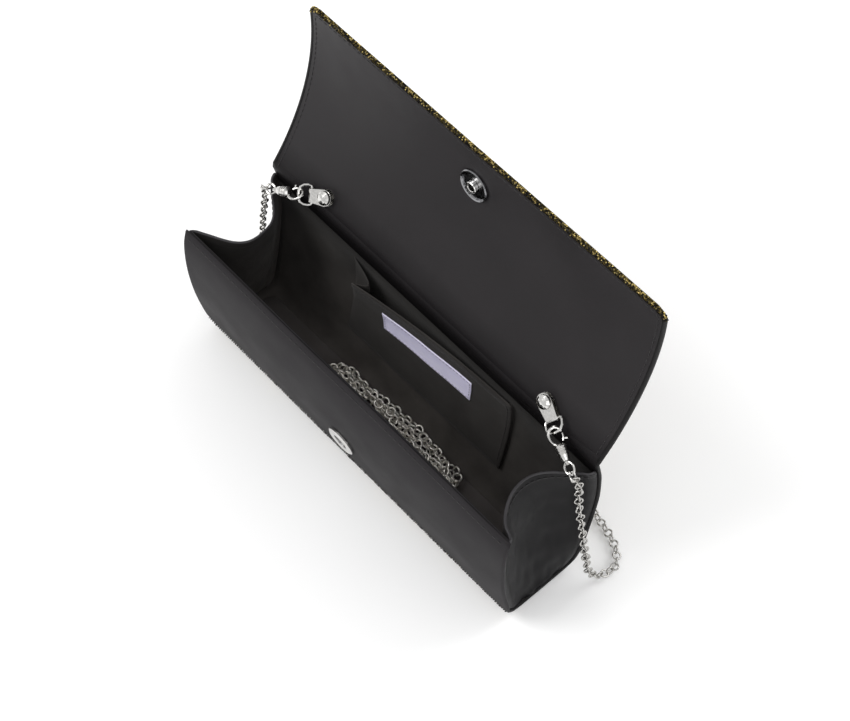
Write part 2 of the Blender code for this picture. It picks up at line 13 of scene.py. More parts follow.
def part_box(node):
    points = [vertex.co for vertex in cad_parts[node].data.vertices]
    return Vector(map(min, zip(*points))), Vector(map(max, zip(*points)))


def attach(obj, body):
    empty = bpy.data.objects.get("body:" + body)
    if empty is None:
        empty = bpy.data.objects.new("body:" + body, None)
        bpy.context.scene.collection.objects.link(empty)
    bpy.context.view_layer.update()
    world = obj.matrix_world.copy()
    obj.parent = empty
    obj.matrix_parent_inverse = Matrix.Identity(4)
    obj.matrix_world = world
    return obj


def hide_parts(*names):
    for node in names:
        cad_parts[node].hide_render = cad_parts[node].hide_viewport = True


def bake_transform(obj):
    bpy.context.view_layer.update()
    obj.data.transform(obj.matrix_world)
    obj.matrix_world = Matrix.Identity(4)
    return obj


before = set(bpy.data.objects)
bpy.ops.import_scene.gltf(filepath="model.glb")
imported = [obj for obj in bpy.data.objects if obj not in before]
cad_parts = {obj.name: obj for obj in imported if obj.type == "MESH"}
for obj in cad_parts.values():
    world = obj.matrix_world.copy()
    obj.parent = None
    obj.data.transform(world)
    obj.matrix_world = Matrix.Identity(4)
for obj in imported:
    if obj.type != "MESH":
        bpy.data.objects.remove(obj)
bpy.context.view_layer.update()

# -------------------- the CAD's dimensions, mm
HALF_LENGTH = 120.0
BASE_Z = -96.5
BASE_MID_Y = 34.0
CREASE = (57.5, 6.4)
FLAP_LENGTH = 109.0
FLAP_LEAN = (36.9, -6.8)
FLAP_CORNER = 6.0
GUSSET_FOLD = 24.0
SNAP_X, STUD_S = -1.0, 83.5
BACK_OUTER = [(58.05, 5.3), (61.1, -0.6), (63.2, -9.0), (64.6, -20.0), (65.2, -32.0), (64.2, -46.0),
              (62.4, -60.0), (60.4, -74.0), (58.0, -86.0), (55.0, -92.8), (49.5, -96.5),
              (34.0, -96.5), (19.0, -96.5), (12.8, -93.6), (9.0, -87.6)]
FRONT_OUTER = [(8.2, -85.9), (5.6, -75.0), (3.2, -64.5), (1.2, -54.0), (-0.5, -42.0), (-1.6, -30.0),
               (-2.0, -18.0), (-1.6, -8.0), (0.0, 0.0)]
POCKET_RIGHT = 61.0
POCKET_Z = (-12.0, -72.0)
LOW = BASE_Z + 3.05


def place(point):
    x, y, z = point
    return Vector((x / 1000, (y - BASE_MID_Y) / 1000, (z - BASE_Z) / 1000))


def flap_frame(s):
    a0, a1 = (math.radians(a) for a in FLAP_LEAN)
    k = (a1 - a0) / FLAP_LENGTH
    a = a0 + k * s
    y = CREASE[0] + (math.cos(a0) - math.cos(a)) / k
    z = CREASE[1] + (math.sin(a) - math.sin(a0)) / k
    return Vector((y, z)), Vector((math.sin(a), math.cos(a))), Vector((-math.cos(a), math.sin(a)))


def on_flap(x, s, n):
    base, run, normal = flap_frame(max(s, 0.0))
    if s < 0:
        base = base + run * s
    return (x, base.x + normal.x * n, base.y + normal.y * n)


def flap_half(s, inset):
    end = FLAP_LENGTH - inset
    r = FLAP_CORNER - inset * 0.5
    half = HALF_LENGTH - inset
    if s > end - r:
        half -= r - math.sqrt(max(r * r - (s - end + r) ** 2, 0.0))
    return half


def steps(low, high, count):
    return [low + (high - low) * k / (count - 1) for k in range(count)]


def smooth(points, step):
    """Evenly spaced points on a Catmull-Rom curve through the given ones."""
    pts = [Vector(p) for p in points]
    fine = []
    for k in range(len(pts) - 1):
        p0, p1 = pts[max(k - 1, 0)], pts[k]
        p2, p3 = pts[k + 1], pts[min(k + 2, len(pts) - 1)]
        for m in range(12):
            t = m / 12
            fine.append(0.5 * ((2 * p1) + (p2 - p0) * t + (2 * p0 - 5 * p1 + 4 * p2 - p3) * t * t
                               + (3 * p1 - p0 - 3 * p2 + p3) * t ** 3))
    fine.append(pts[-1])
    total = sum((b - a).length for a, b in zip(fine, fine[1:]))
    count = max(int(total / step), 2)
    out, run, k = [fine[0]], 0.0, 0
    for m in range(1, count):
        want = total * m / count
        while run + (fine[k + 1] - fine[k]).length < want:
            run += (fine[k + 1] - fine[k]).length
            k += 1
        span = (fine[k + 1] - fine[k]).length
        out.append(fine[k].lerp(fine[k + 1], (want - run) / span))
    return out + [fine[-1]]


def dense(line, step=2.5):
    return [(p.x, p.y) for p in smooth([(a, b, 0.0) for a, b in line], step)]


def offset_line(line, distance):
    moved = []
    for k, (y, z) in enumerate(line):
        a, b = line[max(k - 1, 0)], line[min(k + 1, len(line) - 1)]
        dy, dz = b[0] - a[0], b[1] - a[1]
        size = math.hypot(dy, dz)
        moved.append((y - dz / size * distance, z + dy / size * distance))
    return moved


def at_height(line, z):
    for (y0, z0), (y1, z1) in zip(line, line[1:]):
        if min(z0, z1) - 1e-6 <= z <= max(z0, z1) + 1e-6 and z0 != z1:
            return y0 + (y1 - y0) * (z - z0) / (z1 - z0)
    return line[0][0] if z > line[0][1] else line[-1][0]


# -------------------- camera
CAM_POS = place((395.07, -344.74, 850.17))
CAM_AIM = place((9.64, 48.83, -20.28))
CAM_ROLL = 3.75
CAM_LENS = 86.24
back = (CAM_POS - CAM_AIM).normalized()
right0 = Vector((0, 0, 1)).cross(back).normalized()
up0 = back.cross(right0)
roll = math.radians(CAM_ROLL)
right = right0 * math.cos(roll) + up0 * math.sin(roll)
up = back.cross(right)
cam_data = bpy.data.cameras.new("camera")
cam_data.lens = CAM_LENS
cam_data.sensor_width = 36.0
cam_data.clip_start, cam_data.clip_end = 0.01, 20.0
camera = bpy.data.objects.new("camera", cam_data)
bpy.context.collection.objects.link(camera)
camera.matrix_world = Matrix.Translation(CAM_POS) @ Matrix((right, up, back)).transposed().to_4x4()
bpy.context.scene.camera = camera


# -------------------- material nodes
def new_material(name):
    mat = bpy.data.materials.new(name)
    mat.use_nodes = True
    tree = mat.node_tree
    return mat, tree, tree.nodes["Principled BSDF"]


def node(tree, kind, **values):
    made = tree.nodes.new(kind)
    for key, value in values.items():
        if key in made.inputs.keys():
            made.inputs[key].default_value = value
        else:
            setattr(made, key, value)
    return made


def ramp(tree, source, stops, interpolation="LINEAR"):
    made = tree.nodes.new("ShaderNodeValToRGB")
    made.color_ramp.interpolation = interpolation
    elements = made.color_ramp.elements
    while len(elements) < len(stops):
        elements.new(0.5)
    for element, (position, colour) in zip(elements, stops):
        element.position = position
        element.color = (*colour, 1.0)
    tree.links.new(source, made.inputs["Fac"])
    return made


def bump(tree, shader, height, strength, distance, below=None):
    made = node(tree, "ShaderNodeBump", Strength=strength, Distance=distance)
    tree.links.new(height, made.inputs["Height"])
    if below is not None:
        tree.links.new(below.outputs["Normal"], made.inputs["Normal"])
    tree.links.new(made.outputs["Normal"], shader.inputs["Normal"])
    return made


def coords(tree, scale=1.0, output="Object"):
    made = tree.nodes.new("ShaderNodeTexCoord")
    mapping = tree.nodes.new("ShaderNodeMapping")
    mapping.inputs["Scale"].default_value = (scale,) * 3
    tree.links.new(made.outputs[output], mapping.inputs["Vector"])
    return mapping.outputs["Vector"]


def height_range(tree, at, low, high, at_low, at_high):
    """Value going from at_low to at_high as z goes from low to high, in metres."""
    axis = tree.nodes.new("ShaderNodeSeparateXYZ")
    tree.links.new(at, axis.inputs["Vector"])
    level = node(tree, "ShaderNodeMapRange", **{"From Min": low, "From Max": high,
                                                "To Min": at_low, "To Max": at_high})
    tree.links.new(axis.outputs["Z"], level.inputs["Value"])
    return level.outputs["Result"]


def base_colour(tree, at, colour, shader, painted_light_levels):
    """Join the colour to the shader; levels are low z, high z and the colour's scale at the low end.

    The change with height is painted light and shade, set for the look of the open bag, not a property of the
    cloth or leather.
    """
    source = colour.outputs["Color"]
    if painted_light_levels:
        low, high, scale = painted_light_levels
        scaled = node(tree, "ShaderNodeVectorMath", operation="SCALE")
        tree.links.new(source, scaled.inputs[0])
        tree.links.new(height_range(tree, at, low, high, scale, 1.0), scaled.inputs["Scale"])
        source = scaled.outputs["Vector"]
    tree.links.new(source, shader.inputs["Base Color"])


def leather(name, dark, light, rough, grain, gloss_level, painted_light_levels=None):
    """Smooth coated leather: fine pebble grain, faint mottling and sheen changes."""
    mat, tree, shader = new_material(name)
    at = coords(tree)
    mottle = node(tree, "ShaderNodeTexNoise", Scale=38.0, Detail=3.0)
    cells = node(tree, "ShaderNodeTexVoronoi", Scale=1900.0)
    fine = node(tree, "ShaderNodeTexNoise", Scale=5200.0, Detail=2.0)
    for tex in (mottle, cells, fine):
        tree.links.new(at, tex.inputs["Vector"])
    colour = ramp(tree, mottle.outputs["Fac"], [(0.3, dark), (0.7, light)])
    base_colour(tree, at, colour, shader, painted_light_levels)
    gloss = node(tree, "ShaderNodeMapRange", **{"From Min": 0.3, "From Max": 0.7,
                                                "To Min": rough[0], "To Max": rough[1]})
    tree.links.new(mottle.outputs["Fac"], gloss.inputs["Value"])
    tree.links.new(gloss.outputs["Result"], shader.inputs["Roughness"])
    first = bump(tree, shader, cells.outputs["Distance"], grain, 0.00012)
    bump(tree, shader, fine.outputs["Fac"], grain * 0.6, 0.00006, first)
    shader.inputs["Specular IOR Level"].default_value = gloss_level
    # painted shade: the specular level also drops towards the low z end, so the leather reads darker there
    if painted_light_levels:
        low, high, scale = painted_light_levels
        painted_shade_gloss = height_range(tree, at, low, high, gloss_level * scale * 0.5, gloss_level)
        tree.links.new(painted_shade_gloss, shader.inputs["Specular IOR Level"])
    return mat


def lining_cloth(name, dark, light, painted_light_levels=None):
    """Thin woven lining: two crossed thread waves, soft mottling, some sheen."""
    mat, tree, shader = new_material(name)
    at = coords(tree)
    threads = []
    for direction in ("X", "Z"):
        wave = node(tree, "ShaderNodeTexWave", Scale=520.0, Distortion=0.6, Detail=1.0)
        wave.bands_direction = direction
        tree.links.new(at, wave.inputs["Vector"])
        threads.append(wave.outputs["Fac"])
    weave = node(tree, "ShaderNodeMath", operation="MAXIMUM")
    tree.links.new(threads[0], weave.inputs[0])
    tree.links.new(threads[1], weave.inputs[1])
    mottle = node(tree, "ShaderNodeTexNoise", Scale=55.0, Detail=4.0)
    tree.links.new(at, mottle.inputs["Vector"])
    colour = ramp(tree, mottle.outputs["Fac"], [(0.3, dark), (0.72, light)])
    base_colour(tree, at, colour, shader, painted_light_levels)
    shader.inputs["Roughness"].default_value = 0.78
    shader.inputs["Sheen Weight"].default_value = 0.05
    shader.inputs["Specular IOR Level"].default_value = 0.12
    bump(tree, shader, weave.outputs["Value"], 0.35, 0.00008)
    return mat


def glitter(name):
    """Cloth set with close metallic specks: black, olive and gold cells, each tipped its own way."""
    mat, tree, shader = new_material(name)
    at = coords(tree)
    cells = node(tree, "ShaderNodeTexVoronoi", Scale=1050.0)
    tree.links.new(at, cells.inputs["Vector"])
    split = tree.nodes.new("ShaderNodeSeparateColor")
    tree.links.new(cells.outputs["Color"], split.inputs["Color"])
    patches = node(tree, "ShaderNodeTexNoise", Scale=70.0, Detail=4.0)
    tree.links.new(at, patches.inputs["Vector"])
    mix = node(tree, "ShaderNodeMath", operation="MULTIPLY_ADD")
    mix.inputs[1].default_value = 0.55
    tree.links.new(split.outputs["Red"], mix.inputs[0])
    scaled = node(tree, "ShaderNodeMath", operation="MULTIPLY")
    scaled.inputs[1].default_value = 0.6
    tree.links.new(patches.outputs["Fac"], scaled.inputs[0])
    tree.links.new(scaled.outputs["Value"], mix.inputs[2])
    colour = ramp(tree, mix.outputs["Value"],
                  [(0.0, (0.008, 0.008, 0.008)), (0.46, (0.014, 0.013, 0.010)), (0.56, (0.075, 0.060, 0.022)),
                   (0.70, (0.20, 0.145, 0.045)), (0.84, (0.42, 0.30, 0.11))], "CONSTANT")
    tree.links.new(colour.outputs["Color"], shader.inputs["Base Color"])
    shader.inputs["Metallic"].default_value = 0.75
    gloss = node(tree, "ShaderNodeMapRange", **{"To Min": 0.18, "To Max": 0.5})
    tree.links.new(split.outputs["Green"], gloss.inputs["Value"])
    tree.links.new(gloss.outputs["Result"], shader.inputs["Roughness"])
    first = bump(tree, shader, cells.outputs["Distance"], 0.9, 0.0003)
    bump(tree, shader, split.outputs["Blue"], 0.5, 0.0002, first)
    return mat


def metal(name, colour, rough, scale=900.0):
    """Plated metal: small changes of gloss and faint handling marks."""
    mat, tree, shader = new_material(name)
    at = coords(tree)
    marks = node(tree, "ShaderNodeTexNoise", Scale=scale, Detail=4.0)
    tree.links.new(at, marks.inputs["Vector"])
    tint = tuple(c * 0.82 for c in colour)
    shade = ramp(tree, marks.outputs["Fac"], [(0.25, tint), (0.6, colour)])
    tree.links.new(shade.outputs["Color"], shader.inputs["Base Color"])
    shader.inputs["Metallic"].default_value = 1.0
    gloss = node(tree, "ShaderNodeMapRange", **{"To Min": rough[0], "To Max": rough[1]})
    tree.links.new(marks.outputs["Fac"], gloss.inputs["Value"])
    tree.links.new(gloss.outputs["Result"], shader.inputs["Roughness"])
    bump(tree, shader, marks.outputs["Fac"], 0.12, 0.00005)
    return mat


def woven_label(name, dark, light):
    """Satin label: fine crossed threads from the patch's own UV."""
    mat, tree, shader = new_material(name)
    at = coords(tree, 1.0, "UV")
    threads = []
    for direction, scale in (("X", 95.0), ("Y", 60.0)):
        wave = node(tree, "ShaderNodeTexWave", Scale=scale, Distortion=0.4)
        wave.bands_direction = direction
        tree.links.new(at, wave.inputs["Vector"])
        threads.append(wave.outputs["Fac"])
    weave = node(tree, "ShaderNodeMath", operation="ADD")
    tree.links.new(threads[0], weave.inputs[0])
    tree.links.new(threads[1], weave.inputs[1])
    blotch = node(tree, "ShaderNodeTexNoise", Scale=9.0, Detail=3.0)
    tree.links.new(at, blotch.inputs["Vector"])
    colour = ramp(tree, blotch.outputs["Fac"], [(0.3, dark), (0.7, light)])
    tree.links.new(colour.outputs["Color"], shader.inputs["Base Color"])
    shader.inputs["Roughness"].default_value = 0.42
    shader.inputs["Sheen Weight"].default_value = 0.8
    shader.inputs["Sheen Tint"].default_value = (0.75, 0.72, 1.0, 1.0)
    bump(tree, shader, weave.outputs["Value"], 0.4, 0.00012)
    return mat


def thread(name, colour):
    mat, tree, shader = new_material(name)
    at = coords(tree)
    twist = node(tree, "ShaderNodeTexWave", Scale=900.0, Distortion=1.0)
    tree.links.new(at, twist.inputs["Vector"])
    shade = ramp(tree, twist.outputs["Fac"], [(0.2, tuple(c * 0.6 for c in colour)), (0.8, colour)])
    tree.links.new(shade.outputs["Color"], shader.inputs["Base Color"])
    shader.inputs["Roughness"].default_value = 0.6
    bump(tree, shader, twist.outputs["Fac"], 0.5, 0.0001)
    return mat


LEATHER_FRONT = leather("leather_front", (0.0176, 0.0160, 0.0174), (0.0216, 0.0199, 0.0216),
                        (0.5, 0.62), 0.25, 0.08)
# painted shade: the flap leather's colour falls to 0.3 and its specular level to 0.15 from z 0.119 m down to
# 0.094 m, darker towards the crease
LEATHER_FLAP = leather("leather_flap", (0.0150, 0.0132, 0.0143), (0.0190, 0.0168, 0.0181),
                       (0.48, 0.6), 0.22, 0.24, (0.094, 0.119, 0.3))
LEATHER_GUSSET = leather("leather_gusset", (0.0034, 0.0031, 0.0035), (0.0058, 0.0053, 0.0060),
                         (0.36, 0.5), 0.4, 0.10)
# painted highlight: a lighter, glossier leather for the gusset sheets' rims, standing in for light caught along
# the hem
HEM_HIGHLIGHT = leather("hem_painted_highlight", (0.022, 0.0205, 0.0225), (0.036, 0.034, 0.037), (0.35, 0.5), 0.25, 0.35)
BINDING = leather("edge_binding", (0.0050, 0.0046, 0.0048), (0.0075, 0.0070, 0.0072), (0.45, 0.6), 0.3, 0.2)
# painted light: the lining's colour rises to 4.2 times from z 0.090 m down to 0.018 m, lighter towards the
# bottom of the bag
LINING = lining_cloth("lining_cloth", (0.0120, 0.0107, 0.0099), (0.0195, 0.0177, 0.0163), (0.018, 0.090, 4.2))
# painted light: the bottom board's cloth is a much lighter copy of the lining, standing in for light on the
# bag's floor
FLOOR_CLOTH_PAINTED_LIGHT = lining_cloth("bottom_cloth_painted_light", (0.072, 0.0650, 0.0620), (0.100, 0.0910, 0.0880))
POCKET = lining_cloth("pocket_cloth", (0.030, 0.0270, 0.0252), (0.042, 0.0382, 0.0360))
GLITTER = glitter("glitter_cloth")
NICKEL = metal("nickel", (0.72, 0.71, 0.69), (0.10, 0.26))
STEEL = metal("chain_steel", (0.50, 0.49, 0.47), (0.14, 0.30), 1500.0)
# painted light: the stowed chain's steel is painted much lighter than the handle chain's, standing in for light
# on the chain lying in the bag
STOW_STEEL_PAINTED_LIGHT = metal("stowed_steel_painted_light", (0.96, 0.93, 0.87), (0.26, 0.42), 1500.0)
STUD_METAL = metal("snap_metal", (0.26, 0.26, 0.27), (0.10, 0.2), 300.0)
MAGNET = metal("magnet_plate", (0.24, 0.24, 0.25), (0.35, 0.6))
LABEL = woven_label("woven_label", (0.82, 0.79, 1.0), (0.88, 0.85, 1.0))
THREAD_DARK = thread("thread_dark", (0.030, 0.028, 0.029))
THREAD_LABEL = thread("thread_label", (0.34, 0.33, 0.44))
GOLD_BEAD = metal("bead_gold", (0.46, 0.36, 0.13), (0.25, 0.4))
OLIVE_BEAD = metal("bead_olive", (0.055, 0.043, 0.013), (0.28, 0.45))
BLACK_BEAD = metal("bead_black", (0.014, 0.012, 0.010), (0.25, 0.45))


# -------------------- mesh builders
def make(name, verts, faces, materials, smooth_faces=True, uvs=None, face_slots=None):
    mesh = bpy.data.meshes.new(name)
    mesh.from_pydata([tuple(v) for v in verts], [], faces)
    mesh.update()
    obj = bpy.data.objects.new(name, mesh)
    bpy.context.collection.objects.link(obj)
    for mat in materials:
        mesh.materials.append(mat)
    mesh.polygons.foreach_set("use_smooth", [smooth_faces] * len(mesh.polygons))
    if face_slots:
        mesh.polygons.foreach_set("material_index", face_slots)
    if uvs:
        layer = mesh.uv_layers.new(name="UVMap")
        for loop in mesh.loops:
            layer.data[loop.index].uv = uvs[loop.vertex_index]
    return obj


def slab(name, point, us, vs, materials, round_edge=True, body=None):
    """Closed sheet from point(u, v, side) in section mm; its rim is rounded. Faces 0 are the first face."""
    nu, nv = len(us), len(vs)
    sides = [[[place(point(u, v, side)) for v in vs] for u in us] for side in (0, 1)]
    verts, uvs, index = [], [], {}

    def put(key, co, uv):
        index[key] = len(verts)
        verts.append(co)
        uvs.append(uv)
    for side in (0, 1):
        for i in range(nu):
            for j in range(nv):
                put((side, i, j), sides[side][i][j], (i / (nu - 1), j / (nv - 1)))
    rim = ([(i, 0) for i in range(nu)] + [(nu - 1, j) for j in range(1, nv)]
           + [(i, nv - 1) for i in range(nu - 2, -1, -1)] + [(0, j) for j in range(nv - 2, 0, -1)])
    for i, j in rim:
        a, b = sides[0][i][j], sides[1][i][j]
        ii = 1 if i == 0 else (nu - 2 if i == nu - 1 else i)
        jj = 1 if j == 0 else (nv - 2 if j == nv - 1 else j)
        inner = (sides[0][ii][jj] + sides[1][ii][jj]) / 2
        mid = (a + b) / 2
        out = (mid - inner)
        across = (b - a)
        if across.length > 1e-9:
            out -= across * out.dot(across) / across.length_squared
        push = out.normalized() * (across.length * 0.42) if round_edge and out.length > 1e-9 else Vector()
        put(("r", i, j), mid + push, (i / (nu - 1), j / (nv - 1)))
    faces, slots = [], []
    for side in (0, 1):
        for i in range(nu - 1):
            for j in range(nv - 1):
                quad = [index[side, *corner] for corner in ((i, j), (i + 1, j), (i + 1, j + 1), (i, j + 1))]
                faces.append(quad if side else quad[::-1])
                slots.append(0 if side == 0 or len(materials) == 1 else 1)
    for (i, j), (k, m) in zip(rim, rim[1:] + rim[:1]):
        faces.append([index[0, i, j], index[0, k, m], index["r", k, m], index["r", i, j]])
        faces.append([index["r", i, j], index["r", k, m], index[1, k, m], index[1, i, j]])
        slots += [0, 0]
    obj = make(name, verts, faces, materials, True, uvs, slots)
    fix_normals(obj)
    if body:
        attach(obj, body)
    return obj


def bind_edges(obj, from_x, slot_index):
    """Faces beyond |x| take the binding's material."""
    for face in obj.data.polygons:
        if abs(face.center.x) > from_x - (0.0024 if face.center.z < 0.024 else 0.0):
            face.material_index = slot_index


def fix_normals(obj):
    bm = bmesh.new()
    bm.from_mesh(obj.data)
    bmesh.ops.recalc_face_normals(bm, faces=bm.faces)
    bm.to_mesh(obj.data)
    bm.free()


def tube_mesh(points, radius, closed=False, segments=8, start_normal=None):
    """Vertices and faces of a round tube through metre points."""
    n = len(points)
    radii = radius if isinstance(radius, list) else [radius] * n
    verts, faces, ref = [], [], start_normal
    for k, p in enumerate(points):
        a = points[(k - 1) % n] if closed or k else p
        b = points[(k + 1) % n] if closed or k < n - 1 else p
        t = (b - a).normalized()
        if ref is None:
            ref = Vector((0, 0, 1)) if abs(t.z) < 0.9 else Vector((1, 0, 0))
        u = (ref - t * ref.dot(t)).normalized()
        ref, v = u, t.cross(u)
        for m in range(segments):
            angle = 2 * math.pi * m / segments
            verts.append(p + (u * math.cos(angle) + v * math.sin(angle)) * radii[k])
    spans = range(n) if closed else range(n - 1)
    for k in spans:
        q = (k + 1) % n
        for m in range(segments):
            r = (m + 1) % segments
            faces.append([k * segments + m, k * segments + r, q * segments + r, q * segments + m])
    if not closed:
        faces.append(list(range(segments))[::-1])
        faces.append([(n - 1) * segments + m for m in range(segments)])
    return verts, faces


def merge(parts):
    verts, faces = [], []
    for v, f in parts:
        base = len(verts)
        verts += v
        faces += [[i + base for i in face] for face in f]
    return verts, faces


def link_chain(points, pitch, major, minor, seed, around=16, segments=6, jitter=0.25):
    """Round links in turn along metre points, each turned a quarter from the last."""
    rng = random.Random(seed)
    parts = []
    lengths = [0.0]
    for a, b in zip(points, points[1:]):
        lengths.append(lengths[-1] + (b - a).length)
    count = int(lengths[-1] / pitch)
    k, ref = 0, Vector((0, 0, 1))
    for m in range(count + 1):
        want = min(lengths[-1] * m / count, lengths[-1] - 1e-7)
        while lengths[k + 1] < want:
            k += 1
        f = (want - lengths[k]) / (lengths[k + 1] - lengths[k])
        centre = points[k].lerp(points[k + 1], f)
        t = (points[k + 1] - points[k]).normalized()
        if abs(t.dot(ref)) > 0.95:
            ref = Vector((1, 0, 0))
        side = (ref - t * ref.dot(t)).normalized()
        ref = side
        turn = (math.pi / 4 if m % 2 else -math.pi / 4) + rng.uniform(-jitter, jitter)
        u = side * math.cos(turn) + t.cross(side) * math.sin(turn)
        t2 = (t + Vector((rng.uniform(-1, 1), rng.uniform(-1, 1), rng.uniform(-1, 1))) * 0.12).normalized()
        u = (u - t2 * u.dot(t2)).normalized()
        angles = [2 * math.pi * q / around for q in range(around)]
        ring = [centre + (t2 * math.cos(a) + u * math.sin(a)) * major for a in angles]
        parts.append(tube_mesh(ring, minor, True, segments, t2.cross(u)))
    return merge(parts)


def capsule(a, b, normal, radius, parts):
    """One sewn stitch from a to b, dipping at both ends."""
    across = b - a
    rise = normal * radius
    pts = [a - rise * 0.9, a + across * 0.16 + rise * 0.25, a + across * 0.5 + rise * 0.45,
           a + across * 0.84 + rise * 0.25, b - rise * 0.9]
    parts.append(tube_mesh(pts, [radius * 0.6, radius, radius, radius, radius * 0.6], False, 6))


def stitch_row(name, surface, path, length, gap, radius, mat, body):
    """Stitches on surface(p, lift) along a path of surface parameters; surface gives section mm."""
    line = [place(surface(p, 0.0)) for p in path]
    lifted = [place(surface(p, 1.0)) for p in path]
    normals = [(b - a).normalized() for a, b in zip(line, lifted)]
    lengths = [0.0]
    for a, b in zip(line, line[1:]):
        lengths.append(lengths[-1] + (b - a).length)

    def sample(d):
        k = 0
        while k < len(line) - 2 and lengths[k + 1] < d:
            k += 1
        f = (d - lengths[k]) / max(lengths[k + 1] - lengths[k], 1e-9)
        return line[k].lerp(line[k + 1], f), normals[k].lerp(normals[k + 1], f).normalized()
    parts = []
    count = int(lengths[-1] / (length + gap))
    for m in range(count):
        a, n1 = sample(m * (length + gap))
        b, _ = sample(m * (length + gap) + length)
        capsule(a, b, n1, radius, parts)
    verts, faces = merge(parts)
    obj = make(name, verts, faces, [mat])
    fix_normals(obj)
    if body:
        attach(obj, body)
    return obj


def ripple(x, y, z, scale, amount):
    return noise.noise(Vector((x / scale, y / scale, z / scale))) * amount


# -------------------- chains, first with the camera
HANDLE = [(-117.4, 50.8, -8.0), (-118.8, 50.9, -20.0), (-121.0, 51.2, -35.0), (-123.0, 52.2, -52.0),
          (-124.8, 54.5, -70.0), (-126.5, 60.0, -86.0), (-127.0, 69.0, LOW), (-118.0, 80.0, LOW),
          (-92.0, 90.0, LOW), (-52.0, 84.0, LOW), (-8.0, 92.0, LOW), (38.0, 86.0, LOW), (76.0, 91.0, LOW),
          (106.0, 85.0, LOW), (124.0, 80.5, LOW), (134.0, 73.5, LOW), (134.5, 64.0, LOW),
          (132.0, 57.0, LOW + 4.5), (130.6, 53.2, -78.0), (126.8, 51.6, -58.0), (122.0, 51.2, -38.0),
          (118.2, 50.9, -21.0), (116.8, 50.8, -7.5)]
end_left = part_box("jump_ring_left")
end_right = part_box("jump_ring_right")
hook_left = (Vector(end_left[0]) + Vector(end_left[1])) / 2 + Vector((-0.0016, 0.0006, -0.0022))
hook_right = (Vector(end_right[0]) + Vector(end_right[1])) / 2 + Vector((0.0016, 0.0006, -0.0022))
route = [hook_left] + [place(p) for p in smooth(HANDLE, 11.0)] + [hook_right]
fine_route = smooth([p * 1000 for p in route], 2.0)
fine_route = [p / 1000 for p in fine_route]
handle = make("handle_links", *link_chain(fine_route, 0.0034, 0.00205, 0.00052, 7), [STEEL])
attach(handle, "bag")
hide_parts("handle_chain")

FLOOR_IN = BASE_Z + 3.0


def hank_route():
    """Long chain laid to and fro on the bottom board in three layers, a clasp at each end."""
    rng = random.Random(21)
    lanes = [(23.0, 0), (46.0, 0), (28.0, 0), (41.5, 0), (32.5, 0), (37.0, 0), (27.0, 1), (43.0, 1), (31.5, 1),
             (38.5, 1), (35.0, 1), (32.5, 2), (38.0, 2)]
    pts = []
    direction = 1
    for number, (y, layer) in enumerate(lanes):
        inset = 3.5 * layer + rng.uniform(0, 7)
        low, high = -53.0 + inset, 49.0 - inset
        xs = steps(low, high, 9)
        if direction < 0:
            xs = xs[::-1]
        for x in xs:
            sway = math.sin(x / 9.0 + number * 1.7) * 1.7 + rng.uniform(-1.0, 1.0)
            narrow = 1.0 - 0.4 * abs((x - 1.5) / 51.0) ** 3
            drop = 1.2 * layer * max((x - 1.5) / 51.0, 0.0) ** 2
            z = FLOOR_IN + 4.7 + layer * 4.6 + rng.uniform(0, 1.4) - drop
            pts.append((x, 35.0 + (y + sway - 35.0) * narrow, z))
        direction = -direction
    for tag, where in (("a", 0), ("b", len(pts))):
        low, high = (Vector(c) * 1000 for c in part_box(f"stowed_clasp_{tag}"))
        mid = (low + high) / 2
        inner = low.x + 0.8 if mid.x > 0 else high.x - 0.8
        end = (inner, mid.y + BASE_MID_Y, mid.z + BASE_Z)
        pts.insert(where, end)
    return pts


stow_route = [p / 1000 for p in smooth([tuple(place(p) * 1000) for p in hank_route()], 2.0)]
stowed = make("stowed_links", *link_chain(stow_route, 0.0041, 0.00238, 0.00056, 11, 14, 6, 0.7), [STOW_STEEL_PAINTED_LIGHT])
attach(stowed, "bag")
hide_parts("stowed_chain")


# -------------------- outer cloth: flap, back and bottom
def outside_line():
    pts = []
    for s in (109.3, 106.0, 100.0, 90.0, 80.0, 70.0, 60.0, 50.0, 40.0, 30.0, 20.0, 13.0, 8.0):
        thick = 3.9 - 1.2 * max(0.0, (20.0 - s) / 20.0)
        _, y, z = on_flap(0, s, -thick)
        pts.append((y, z))
    pts += [(60.1, 6.0), (60.6, 2.6), (61.7, -2.0), (63.3, -9.0)]
    pts += BACK_OUTER[3:9] + [(56.6, -91.4), (53.0, -95.4), (49.0, -96.45), (34.0, -96.5), (19.5, -96.4),
                              (14.0, -94.4), (10.6, -90.6), (8.7, -86.6)]
    return pts


OUT_LINE = dense(outside_line(), 2.6)
OUT_INNER = offset_line(OUT_LINE, -1.5)
FLAP_ROWS = sum(1 for y, z in OUT_LINE if z > 6.4 + 1e-6)


def round_corner(x, z):
    """Pull the sheet's bottom corners in and up."""
    low = min(max((-74.0 - z) / 22.0, 0.0), 1.0)
    return x * (1.0 - 0.016 * low * low), 2.2 * max((abs(x) - 106.0) / 14.0, 0.0) ** 2 * low * low


